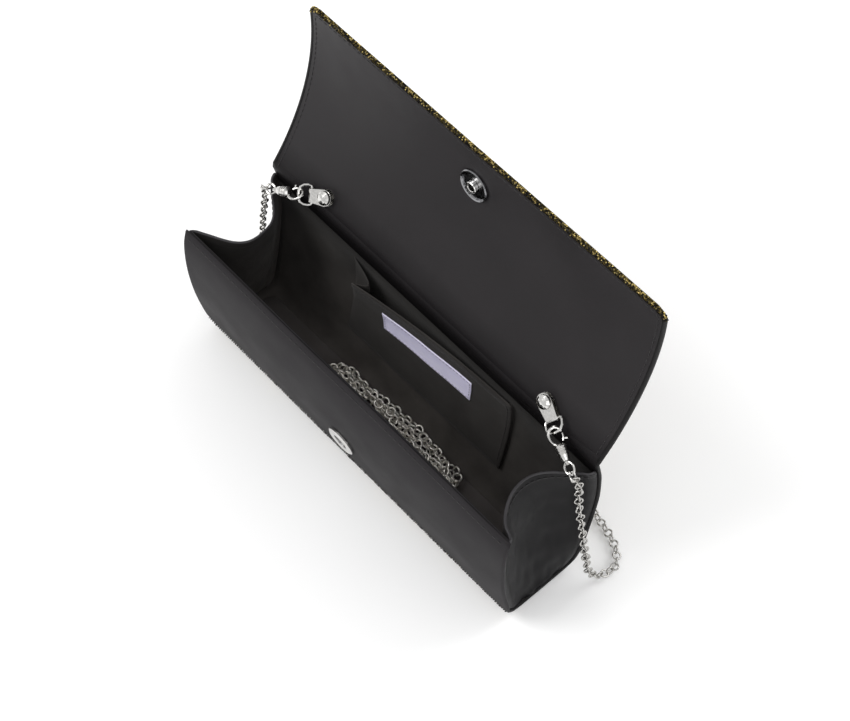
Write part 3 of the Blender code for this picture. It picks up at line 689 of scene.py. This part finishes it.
def outside_point(u, v, side):
    k = int(v)
    y, z = (OUT_LINE, OUT_INNER)[side][k]
    s = FLAP_LENGTH - k * (FLAP_LENGTH / FLAP_ROWS) if k < FLAP_ROWS else 0.0
    half = flap_half(min(s, FLAP_LENGTH), 0.2) if k < FLAP_ROWS else HALF_LENGTH
    bulge = ripple(u * 120, y, z, 45.0, 0.35)
    if k < FLAP_ROWS:
        near_edge = max(min((abs(u * half) - 98.0) / 20.0, 1.0), min((s - 90.0) / 17.0, 1.0), 0.0)
        _, _, normal = flap_frame(s)
        thin = 1.9 * near_edge * near_edge * (3 - 2 * near_edge) * (0.5 if side else 1.0)
        y, z = y + normal.x * thin, z + normal.y * thin
    x, lift = round_corner(u * half, z)
    return (x, y + bulge * 0.6, max(z, BASE_Z + 1.5 * side) + lift)


cloth_us = [-1.0, -0.985, -0.95] + steps(-0.9, 0.9, 25) + [0.95, 0.985, 1.0]
cloth = slab("outer_cloth", outside_point, cloth_us, list(range(len(OUT_LINE))),
             [GLITTER, LEATHER_FLAP, BINDING], True, None)
bind_edges(cloth, 0.1178, 2)
tuple(place((0, 60.5, -1.0)))
tuple(place(on_flap(0, 6.0, -2.0)))
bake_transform(cloth)
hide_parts("back_shell", "flap_shell", "flap_board")


# -------------------- flap's smooth inner face
INNER_INSET = 1.6
TURN_IN = 8.0          # leather carried below the crease, over the lining


def inner_s(v):
    return -TURN_IN + v * (FLAP_LENGTH - INNER_INSET + TURN_IN)


def inner_section(s):
    """Smooth run of the flap's inner face over the crease and down inside the back."""
    if s >= 7.0:
        _, y, z = on_flap(0, s, 0.0)
        return Vector((y, z))
    a, b = on_flap(0, 7.0, 0.0), on_flap(0, 9.0, 0.0)
    top, run = Vector(a[1:]), (Vector(a[1:]) - Vector(b[1:])).normalized()
    low = Vector((59.95, -5.6))
    f = (7.0 - s) / (7.0 + TURN_IN)
    c1 = top + run * 5.2
    c2 = low + Vector((-0.16, 1.0)).normalized() * 6.2
    g = 1.0 - f
    return top * g ** 3 + c1 * 3 * g * g * f + c2 * 3 * g * f * f + low * f ** 3


def inner_point(u, v, side):
    s = inner_s(v)
    half = flap_half(s, INNER_INSET) if s > 0 else HALF_LENGTH - INNER_INSET
    x = u * half
    swell = ripple(x, s, 3.0, 60.0, 0.8) + ripple(x, s, 9.0, 23.0, 0.22)
    edge = min(1.0, (1.0 - abs(u)) * 12.0, (FLAP_LENGTH - INNER_INSET - s) / 8.0, max(s - 2.0, 0.0) / 10.0)
    dimple = -0.3 * math.exp(-(((x - SNAP_X) / 13.0) ** 2 + ((s - STUD_S) / 13.0) ** 2))
    at, near = inner_section(s), inner_section(s + 0.5)
    run = (near - at).normalized()
    out = Vector((-run.y, run.x)) * ((swell * 0.5 + dimple) * max(edge, 0.0) - (1.0 if s > 3 else 0.45) * side)
    return (x, at.x + out.x, at.y + out.y)


flap_us = [-1.0, -0.99, -0.97, -0.93] + steps(-0.88, 0.88, 31) + [0.93, 0.97, 0.99, 1.0]
flap_vs = steps(0.0, 0.15, 15) + steps(0.17, 0.95, 34) + [0.965, 0.98, 0.988, 0.994, 1.0]
flap_inner = slab("flap_inner_face", inner_point, flap_us, flap_vs, [LEATHER_FLAP], True, None)
tuple(place((0, 60.0, 1.6)))
tuple(place(on_flap(0, 3.5, 0.0)))
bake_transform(flap_inner)
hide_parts("flap_lining")


# -------------------- glitter edge round the flap
def edge_path(inset):
    end, r, half = FLAP_LENGTH - inset, max(FLAP_CORNER - inset, 1.0), HALF_LENGTH - inset
    left = [(-half, s) for s in steps(2.0, end - r, 30)]
    corner = [(-half + r - r * math.cos(a), end - r + r * math.sin(a))
              for a in (math.radians(d) for d in (15, 30, 45, 60, 75, 90))]
    middle = [(-half + r + (2 * half - 2 * r) * f, end) for f in steps(0, 1, 42)[1:-1]]
    head = left + corner
    return head + middle + [(-x, s) for x, s in head[::-1]]


EDGE_SECTION = [(1.8, 0.02), (1.6, 0.24), (1.0, 0.32), (0.3, 0.14), (-0.1, -0.45), (-0.2, -1.1), (-0.1, -1.7),
                (0.4, -2.1), (1.4, -2.3), (2.4, -2.25)]
EDGE_LINES = {inset: edge_path(inset) for inset, _ in EDGE_SECTION}


def edge_point(u, v, side):
    k = int(v)
    inset, n = EDGE_SECTION[k]
    a = EDGE_SECTION[max(k - 1, 0)]
    b = EDGE_SECTION[min(k + 1, len(EDGE_SECTION) - 1)]
    di, dn = b[0] - a[0], b[1] - a[1]
    size = math.hypot(di, dn)
    ni, nn = -dn / size * 0.5 * side, di / size * 0.5 * side
    x, s = EDGE_LINES[inset][int(u)]
    mid_x, mid_s = EDGE_LINES[2.4][int(u)]
    reach = max(math.hypot(mid_x - x, mid_s - s), 1e-6)
    x += (mid_x - x) / reach * abs(ni)
    s += (mid_s - s) / reach * abs(ni)
    thin = min(1.0, 0.55 + s / 40.0)
    return on_flap(x, s, (n + nn) * (thin if n < 0 else 1.0))


edge = slab("flap_edge", edge_point, list(range(len(EDGE_LINES[2.4]))), list(range(len(EDGE_SECTION))),
            [GLITTER, GLITTER, BINDING], False, "flap")
bind_edges(edge, 0.1165, 2)
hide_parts("flap_rim")


def bead(centre, radius, rng, parts):
    """Small faceted bead, slightly squashed and turned at random."""
    rows, segs = 4, 6
    turned = rng.uniform(0, 3.1)
    turn = Matrix.Rotation(turned, 3, Vector((rng.uniform(-1, 1), rng.uniform(-1, 1), 1)).normalized())
    verts = [centre + turn @ Vector((0, 0, radius * 0.85))]
    for r in range(1, rows):
        a = math.pi * r / rows
        for m in range(segs):
            b = 2 * math.pi * m / segs
            on_ball = Vector((math.sin(a) * math.cos(b), math.sin(a) * math.sin(b), math.cos(a) * 0.85))
            verts.append(centre + turn @ on_ball * radius)
    verts.append(centre - turn @ Vector((0, 0, radius * 0.85)))
    faces = []
    for m in range(segs):
        q = (m + 1) % segs
        faces.append([0, 1 + m, 1 + q])
        for r in range(rows - 2):
            faces.append([1 + r * segs + m, 1 + (r + 1) * segs + m, 1 + (r + 1) * segs + q, 1 + r * segs + q])
        faces.append([1 + (rows - 2) * segs + m, len(verts) - 1, 1 + (rows - 2) * segs + q])
    parts.append((verts, faces))


def bead_rows(name, rows, body, chances, seed):
    """Beads along rows of metre points, sorted into one mesh for each colour."""
    rng = random.Random(seed)
    sorted_parts = [[], [], []]
    for row, (gold, olive) in zip(rows, chances):
        for centre in row:
            pick = rng.random()
            which = 0 if pick < gold else (1 if pick < gold + olive else 2)
            shift = Vector((rng.uniform(-1, 1), rng.uniform(-1, 1), rng.uniform(-1, 1))) * 0.00012
            bead(centre + shift, rng.uniform(0.00032, 0.00050), rng, sorted_parts[which])
    for tag, mat, parts in zip(("gold", "olive", "black"), (GOLD_BEAD, OLIVE_BEAD, BLACK_BEAD), sorted_parts):
        if parts:
            obj = make(f"{name}_{tag}", *merge(parts), [mat], False)
            fix_normals(obj)
            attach(obj, body)


def spaced(points, step):
    return [Vector(p) / 1000 for p in smooth([tuple(p * 1000) for p in points], step)]


free_edge = [edge_path(0.0)[k] for k in range(30, len(edge_path(0.0)) - 30)]
rows = []
for inset, n in ((0.8, 0.30), (0.15, 0.05), (-0.2, -0.7), (-0.25, -1.5)):
    pts = [place(on_flap(x * (HALF_LENGTH - inset) / HALF_LENGTH, s - inset, n)) for x, s in free_edge]
    rows.append(spaced(pts, 0.85))
bead_rows("edge_bead", rows, "flap", [(0.03, 0.12), (0.10, 0.30), (0.30, 0.40), (0.40, 0.40)], 5)

# -------------------- front panel
FRONT_LINE = dense([(9.6, -89.2)] + FRONT_OUTER, 2.4)
FRONT_INNER = offset_line(FRONT_LINE, -1.75)
front_us = [-1.0, -0.99, -0.97, -0.93] + steps(-0.88, 0.88, 29) + [0.93, 0.97, 0.99, 1.0]


def front_point(u, v, side):
    k = int(v)
    y, z = (FRONT_LINE, FRONT_INNER)[side][k]
    x, lift = round_corner(u * HALF_LENGTH, z)
    wave = ripple(x, 0, z, 70.0, 0.9) * min(1.0, (1 - abs(u)) * 8) + ripple(x, 5, z, 22.0, 0.15)
    return (x, y + wave * 0.45, z + lift)


front = slab("front_leather", front_point, front_us, list(range(len(FRONT_LINE))), [LEATHER_FRONT, LINING],
             True, None)
tuple(place((0, 9.5, -88.6)))
tuple(place((0, 7.0, -83.0)))
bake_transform(front)
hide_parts("front_panel")


def front_face_y(z):
    return at_height(FRONT_LINE[::-1], z)


def facing_point(u, v, side):
    z = -9.5 + 9.3 * v
    y = at_height(FRONT_INNER[::-1], min(z, FRONT_INNER[-1][1])) + 0.15 + 0.75 * side
    x = u * (HALF_LENGTH - 1.2)
    return (x, y + ripple(x, 0, z, 70.0, 0.4), z - (0.25 * side if v > 0.9 else 0))


facing = slab("front_edge_facing", facing_point, steps(-1, 1, 33), [0, 0.1, 0.35, 0.65, 0.9, 1.0],
              [LEATHER_FRONT], True, "front")
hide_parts("front_facing")

# seam of glitter cloth along the lower front edge
low_rows = []
for y, z in ((8.1, -86.6), (9.0, -88.6)):
    pts = []
    for x in steps(-118.6, 118.6, 60):
        nx, lift = round_corner(x, z)
        pts.append(place((nx, y, z + lift)))
    low_rows.append(spaced(pts, 1.5))
bead_rows("seam_bead", low_rows, "bag", [(0.0, 0.04)] * 2, 8)

# -------------------- lining
LINE_BACK = dense([(61.2, -2.6), (61.15, -5.0)] + offset_line(BACK_OUTER, -2.1)[2:-1]
                  + [(12.5, -90.6)], 3.0)
LINE_BACK_IN = offset_line(LINE_BACK, -0.8)


def lining_point(u, v, side):
    k = int(v)
    y, z = (LINE_BACK, LINE_BACK_IN)[side][k]
    x = u * (HALF_LENGTH - 1.6)
    fade = min(1.0, k / 4.0) * min(1.0, (len(LINE_BACK) - 1 - k) / 3.0)
    soft = (ripple(x, y, z, 26.0, 0.5) + ripple(x, y, z, 9.0, 0.14)) * fade
    toward = Vector((LINE_BACK_IN[k][0] - LINE_BACK[k][0], LINE_BACK_IN[k][1] - LINE_BACK[k][1])).normalized()
    x, lift = round_corner(x, z)
    return (x, y + toward.x * max(soft, -0.2), z + toward.y * max(soft, -0.2) + lift)


lining = slab("back_lining_cloth", lining_point, steps(-1, 1, 49), list(range(len(LINE_BACK))), [LINING],
              True, "bag")
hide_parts("back_lining")

LINE_FRONT = dense(offset_line(FRONT_OUTER, -2.0)[:-1] + [(2.0, -5.0)], 3.0)
LINE_FRONT_IN = offset_line(LINE_FRONT, -0.8)


def front_lining_point(u, v, side):
    k = int(v)
    y, z = (LINE_FRONT, LINE_FRONT_IN)[side][k]
    x = u * (HALF_LENGTH - 1.6)
    fade = min(1.0, (len(LINE_FRONT) - 1 - k) / 3.0)
    soft = (ripple(x, y + 30, z, 30.0, 0.5) + ripple(x, y, z, 10.0, 0.12)) * fade
    x, lift = round_corner(x, z)
    return (x, y + max(soft, -0.1) * (0.5 + 0.5 * side), z + lift)


front_lining = slab("front_lining_cloth", front_lining_point, steps(-1, 1, 41), list(range(len(LINE_FRONT))),
                    [LINING], True, "front")
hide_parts("front_lining")


def board_point(u, v, side):
    half = 112.0 - (5.0 - math.sqrt(max(25.0 - max(abs(v) - 8.5, 0.0) ** 2, 0.0)))
    crown = ripple(u * 112, v, 0, 30.0, 0.35)
    x, lift = round_corner(u * half, BASE_Z)
    return (x, 34.0 + v, BASE_Z + 3.0 + 1.2 * side + max(crown, 0.0) * side + lift)


board_vs = [-13.5, -13.0, -11.5, -8.5, -4.0, 0.0, 4.0, 8.5, 11.5, 13.0, 13.5]
board = slab("bottom_board", board_point, steps(-1, 1, 33), board_vs, [FLOOR_CLOTH_PAINTED_LIGHT], True, "bag")
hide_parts("base_board")

# -------------------- gussets
PLEAT = {-1: [0.0, 0.16, 0.62, 0.9, 1.0, 1.0, 0.97, 0.84, 0.5, 0.14, 0.0],
         1: [0.0, 0.38, 0.6, 0.76, 0.85, 0.885, 0.867, 0.735, 0.49, 0.2, 0.0]}
FRONT_SEAM = offset_line(FRONT_OUTER, -1.9)
BACK_SEAM = offset_line(BACK_OUTER, -1.9)


def pleat(t, sign):
    """Height of the fold at t, smooth through the control values."""
    line = PLEAT[sign]
    k = min(max(t, 0.0), 1.0) * 10
    i = min(int(k), 9)
    f = k - i
    p = [line[max(i - 1, 0)], line[i], line[i + 1], line[min(i + 2, 10)]]
    return 0.5 * (2 * p[1] + (p[2] - p[0]) * f + (2 * p[0] - 5 * p[1] + 4 * p[2] - p[3]) * f * f
                  + (3 * p[1] - p[0] - 3 * p[2] + p[3]) * f ** 3)


def soft_pleat(t, sign):
    return sum(pleat(t + d, sign) for d in (-0.06, -0.03, 0.0, 0.03, 0.06)) / 5 * min(1.0, t * 12, (1 - t) * 12)


def gusset_centre(t, z, sign):
    y0 = at_height(FRONT_SEAM[::-1], z) + 0.3
    if z < FRONT_SEAM[0][1]:
        y0 = 10.5 + (FRONT_SEAM[0][1] - z) * 0.6
    y1 = at_height(BACK_SEAM[:-2], z) - 0.3
    if z < -90.0:
        y1 = min(y1, 55.0 - (-90.0 - z) * 0.6)
    depth = GUSSET_FOLD * max((z + 93.5) / 93.5, 0.0) ** 0.8
    return y0 + (y1 - y0) * t, HALF_LENGTH - 1.2 - depth * soft_pleat(t, sign)


GUSSET_LOW = -93.8
HEM_DEPTH = 4.4
HEM_SEAM = 0.036       # stitch line, as a part of the gusset's height


def gusset(sign):
    def top(t):
        dip = 1.0 - (2 * t - 1.0) ** 4
        return -0.6 - 3.6 * dip

    def point(u, v, side):
        high = top(u)
        z = high + (GUSSET_LOW - high) * v
        y, x = gusset_centre(u, z, sign)
        ya, xa = gusset_centre(max(u - 0.01, 0.0), z, sign)
        yb, xb = gusset_centre(min(u + 0.01, 1.0), z, sign)
        tangent = Vector((yb - ya, xb - xa)).normalized()
        shift = -0.55 + 1.1 * side
        if 0.0 <= high - z < HEM_DEPTH:
            shift += 0.22 * (1 if side else -1) * min(1.0, (HEM_DEPTH - high + z) * 2.5)
        ease = min(1.0, u * 6, (1 - u) * 6)
        wobble = ripple(40.0, y, z + sign * 40, 24.0, 1.2) + ripple(9.0, y * 0.5, z + sign * 30, 7.0, 0.28)
        wobble *= ease
        fan = math.sin(u * 19.0 + z * 0.055 * sign) * 0.22 + ripple(y * 2.2, z * 0.7, sign * 20, 9.0, 0.5)
        wobble += fan * ease * min(max((-6.0 - z) / 20.0, 0.0), 1.0)
        y += -tangent.y * (shift + wobble * 0.3)
        x += tangent.x * (shift + wobble)
        x, lift = round_corner(x, z)
        return (sign * x, y, z + lift)
    return point


for tag, sign in (("left", -1), ("right", 1)):
    sheet_us, sheet_vs = steps(0, 1, 73), [0, 0.006, 0.02, 0.036, 0.044, 0.050, 0.056] + steps(0.08, 1.0, 34)
    side_sheet = slab(f"gusset_sheet_{tag}", gusset(sign), sheet_us, sheet_vs,
                      [LINING, LEATHER_GUSSET, HEM_HIGHLIGHT], True, None)
    # painted highlight: the sheet's rim faces take the lighter hem leather
    rim_start = 2 * (len(sheet_us) - 1) * (len(sheet_vs) - 1)
    for face in side_sheet.data.polygons[rim_start:]:
        face.material_index = 2
    tuple(place((0, 41.0, -60.0)))
    tuple(place((0, 6.0, -60.0)))
    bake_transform(side_sheet)
    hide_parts(f"gusset_{tag}")
    for face_tag, side in (("out", 1.0), ("in", 0.0)):
        def on_gusset(p, lift, face=gusset(sign), side=side):
            outward = 1 if side else -1
            return face(p[0], p[1], side + outward * (lift + 0.1) / 1.1)
        seam_line = [(t, HEM_SEAM) for t in steps(0.02, 0.98, 60)]
        seam = stitch_row(f"gusset_stitch_{tag}_{face_tag}", on_gusset, seam_line, 0.0024, 0.0009, 0.00018,
                          THREAD_DARK, None)
        tuple(place((0, 41.0, -60.0)))
        tuple(place((0, 6.0, -60.0)))
        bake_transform(seam)

# -------------------- pocket and label
LINING_FACE = offset_line(BACK_OUTER, -2.7)


def pocket_left(z):
    return -46.0 - 11.0 * (POCKET_Z[0] - z) / (POCKET_Z[0] - POCKET_Z[1])


def pocket_y(x, z):
    behind = at_height(LINING_FACE[1:-2], z)
    f = min(max((POCKET_Z[0] - z) / (POCKET_Z[0] - POCKET_Z[1]), 0.0), 1.0)
    u = min(max((x - pocket_left(z)) / (POCKET_RIGHT - pocket_left(z)), 0.0), 1.0)
    open_top = 2.2 + 10.6 * (1.0 - u) ** 1.9
    return behind - 2.0 * f - open_top * (1.0 - f) ** 0.9


def pocket_soft(x, z):
    return ripple(x, 0, z, 30.0, 0.7)


def pocket_relief(x, z):
    """Softness of the pocket's face, fading at its edges, and how far the hem stands out."""
    f = (POCKET_Z[0] - z) / (POCKET_Z[0] - POCKET_Z[1])
    u = (x - pocket_left(z)) / (POCKET_RIGHT - pocket_left(z))
    hem = -0.28 if 0.012 < f < 0.085 else 0.0
    return pocket_soft(x, z) * min(1.0, f * 5) * min(1.0, u * 6, (1 - u) * 6), hem


def pocket_point(u, v, side):
    z = POCKET_Z[0] + (POCKET_Z[1] - POCKET_Z[0]) * v
    x = pocket_left(z) + (POCKET_RIGHT - pocket_left(z)) * u
    soft, hem = pocket_relief(x, z)
    return (x, pocket_y(x, z) + 0.8 * side + soft + hem * (1 - side), z)


pocket = slab("pocket_cloth_front", pocket_point, steps(0, 1, 49),
              [0, 0.006, 0.016, 0.03, 0.06, 0.082, 0.088] + steps(0.12, 1, 22), [POCKET], True, "bag")
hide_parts("pocket_front")


def bellows(x_edge, x_back, fold):
    def point(u, v, side):
        z = POCKET_Z[0] - 0.6 + (POCKET_Z[1] + 3.0 - POCKET_Z[0]) * v
        start = x_edge(z)
        y0 = pocket_y(start, z) + 0.9
        y1 = at_height(LINING_FACE[1:-2], z) - 0.1
        inward = math.sin(math.pi * u) ** 1.2 * fold * min((y1 - y0) / 10.0, 1.0)
        x = start + (x_back - start) * u + inward
        return (x + 0.7 * (side - 0.5), y0 + (y1 - y0) * u, z)
    return point


POCKET_SIDES = (("left", (lambda z: pocket_left(z) + 1.0, -58.0, 11.0)), ("right", (lambda z: 59.5, 60.5, -1.5)))
for tag, spec in POCKET_SIDES:
    fold = slab(f"pocket_side_{tag}", bellows(*spec), steps(0, 1, 21), [0, 0.01, 0.03] + steps(0.07, 1, 18),
                [POCKET], True, "bag")
    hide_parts(f"pocket_gusset_{tag}")

LABEL_X, LABEL_Z = (-28.0, 33.5), (-24.5, -40.0)


def label_y(x, z):
    return pocket_y(x, z) + pocket_soft(x, z)


def label_point(u, v, side):
    x = LABEL_X[0] + (LABEL_X[1] - LABEL_X[0]) * u
    z = LABEL_Z[0] + (LABEL_Z[1] - LABEL_Z[0]) * v
    raised = -0.15 if (u < 0.03 or u > 0.97 or v < 0.1 or v > 0.9) else 0.0
    return (x, label_y(x, z) - 0.12 - 0.5 * (1 - side) + raised * (1 - side) - ripple(x, 3, z, 8.0, 0.12), z)


label_us = [0, 0.008, 0.024, 0.03] + steps(0.06, 0.94, 30) + [0.97, 0.976, 0.992, 1.0]
label_vs = [0, 0.04, 0.09, 0.11] + steps(0.2, 0.8, 6) + [0.89, 0.91, 0.96, 1.0]
label = slab("label_patch", label_point, label_us, label_vs, [LABEL], True, "bag")
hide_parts("label")


# -------------------- sewing
def on_pocket(p, lift):
    x, z = p
    return (x, pocket_y(x, z) + sum(pocket_relief(x, z)) - lift, z)


def on_label(p, lift):
    x, z = p
    return (x, label_y(x, z) - 0.77 - lift, z)


stitch_row("pocket_stitch_top", on_pocket, [(x, POCKET_Z[0] - 4.4) for x in steps(-45.0, 59.5, 40)],
           0.0024, 0.0009, 0.00020, THREAD_DARK, "bag")
stitch_row("pocket_stitch_right", on_pocket, [(58.8, z) for z in steps(-14.0, -69.0, 25)],
           0.0024, 0.0009, 0.00020, THREAD_DARK, "bag")
label_loop = ([(x, LABEL_Z[0] - 0.9) for x in steps(LABEL_X[0] + 0.9, LABEL_X[1] - 0.9, 30)]
              + [(LABEL_X[1] - 0.9, z) for z in steps(LABEL_Z[0] - 0.9, LABEL_Z[1] + 0.9, 8)[1:]]
              + [(x, LABEL_Z[1] + 0.9) for x in steps(LABEL_X[1] - 0.9, LABEL_X[0] + 0.9, 30)[1:]]
              + [(LABEL_X[0] + 0.9, z) for z in steps(LABEL_Z[1] + 0.9, LABEL_Z[0] - 0.9, 8)[1:]])
stitch_row("label_stitch", on_label, label_loop, 0.0017, 0.0007, 0.00016, THREAD_LABEL, "bag")


def on_front(p, lift):
    x, z = p
    wave = ripple(x, 0, z, 70.0, 0.9) * 0.45 * min(1.0, (1 - abs(x) / HALF_LENGTH) * 8)
    return (x, front_face_y(z) + wave - 0.06 - lift, z)


def on_facing(p, lift):
    x, z = p
    return (x, at_height(FRONT_INNER[::-1], z) + 0.95 + ripple(x, 0, z, 70.0, 0.4) + lift, z)


for stitch_name, surface, reach in (("front_stitch", on_front, 117.5), ("facing_stitch", on_facing, 116.5)):
    stitch_row(stitch_name, surface, [(x, -3.2) for x in steps(-reach, reach, 80)], 0.0026, 0.0009, 0.00019,
               THREAD_DARK, "front")


def on_inner(p, lift):
    x, s = p
    return on_flap(x, s, 0.08 + lift)


stitch_row("flap_stitch", on_inner, edge_path(4.0), 0.0026, 0.0009, 0.00018, THREAD_DARK, "flap")

# -------------------- fittings keep their CAD shape, with finish
NICKEL_STARTS = ("tab_", "ring_", "clasp_", "gate_", "eye_", "jump_", "rivet_", "stowed_clasp",
                 "snap_post", "snap_socket")
for name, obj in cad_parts.items():
    if name.startswith(NICKEL_STARTS):
        plating = NICKEL
    else:
        plating = {"snap_stud": STUD_METAL, "snap_magnet": MAGNET}.get(name)
    if plating:
        obj.data.materials.clear()
        obj.data.materials.append(plating)
        soften = obj.modifiers.new("soften", "BEVEL")
        soften.width = 0.00012
        soften.segments = 2
        soften.limit_method = "ANGLE"
        soften.angle_limit = math.radians(40)
        obj.data.polygons.foreach_set("use_smooth", [True] * len(obj.data.polygons))

# -------------------- stage and light
floor_verts = [(-6, -6, -0.0002), (6, -6, -0.0002), (6, 6, -0.0002), (-6, 6, -0.0002)]
floor_mat, floor_tree, floor_shader = new_material("floor")
floor_shader.inputs["Base Color"].default_value = (0.97, 0.97, 0.97, 1.0)
floor_shader.inputs["Roughness"].default_value = 0.9
floor_shader.inputs["Specular IOR Level"].default_value = 0.1
floor = make("floor", floor_verts, [[0, 1, 2, 3]], [floor_mat], False)

world = bpy.data.worlds.new("studio")
world.use_nodes = True
world.node_tree.nodes["Background"].inputs["Color"].default_value = (1.0, 1.0, 1.0, 1.0)
world.node_tree.nodes["Background"].inputs["Strength"].default_value = 0.75
bpy.context.scene.world = world


def area_light(name, position, aim, size, power):
    data = bpy.data.lights.new(name, "AREA")
    data.shape = "DISK"
    data.size = size
    data.energy = power
    lamp = bpy.data.objects.new(name, data)
    bpy.context.collection.objects.link(lamp)
    lamp.location = position
    lamp.rotation_euler = (Vector(aim) - Vector(position)).to_track_quat("-Z", "Y").to_euler()
    return lamp


area_light("key", (-0.9, -1.1, 1.7), (0, 0, 0.08), 1.2, 22.0)
area_light("fill", (1.5, -0.6, 1.1), (0, 0, 0.08), 1.4, 7.0)
area_light("rear", (0.4, 1.5, 1.4), (0, 0, 0.1), 1.2, 12.0)
bpy.context.scene.view_settings.view_transform = "Standard"
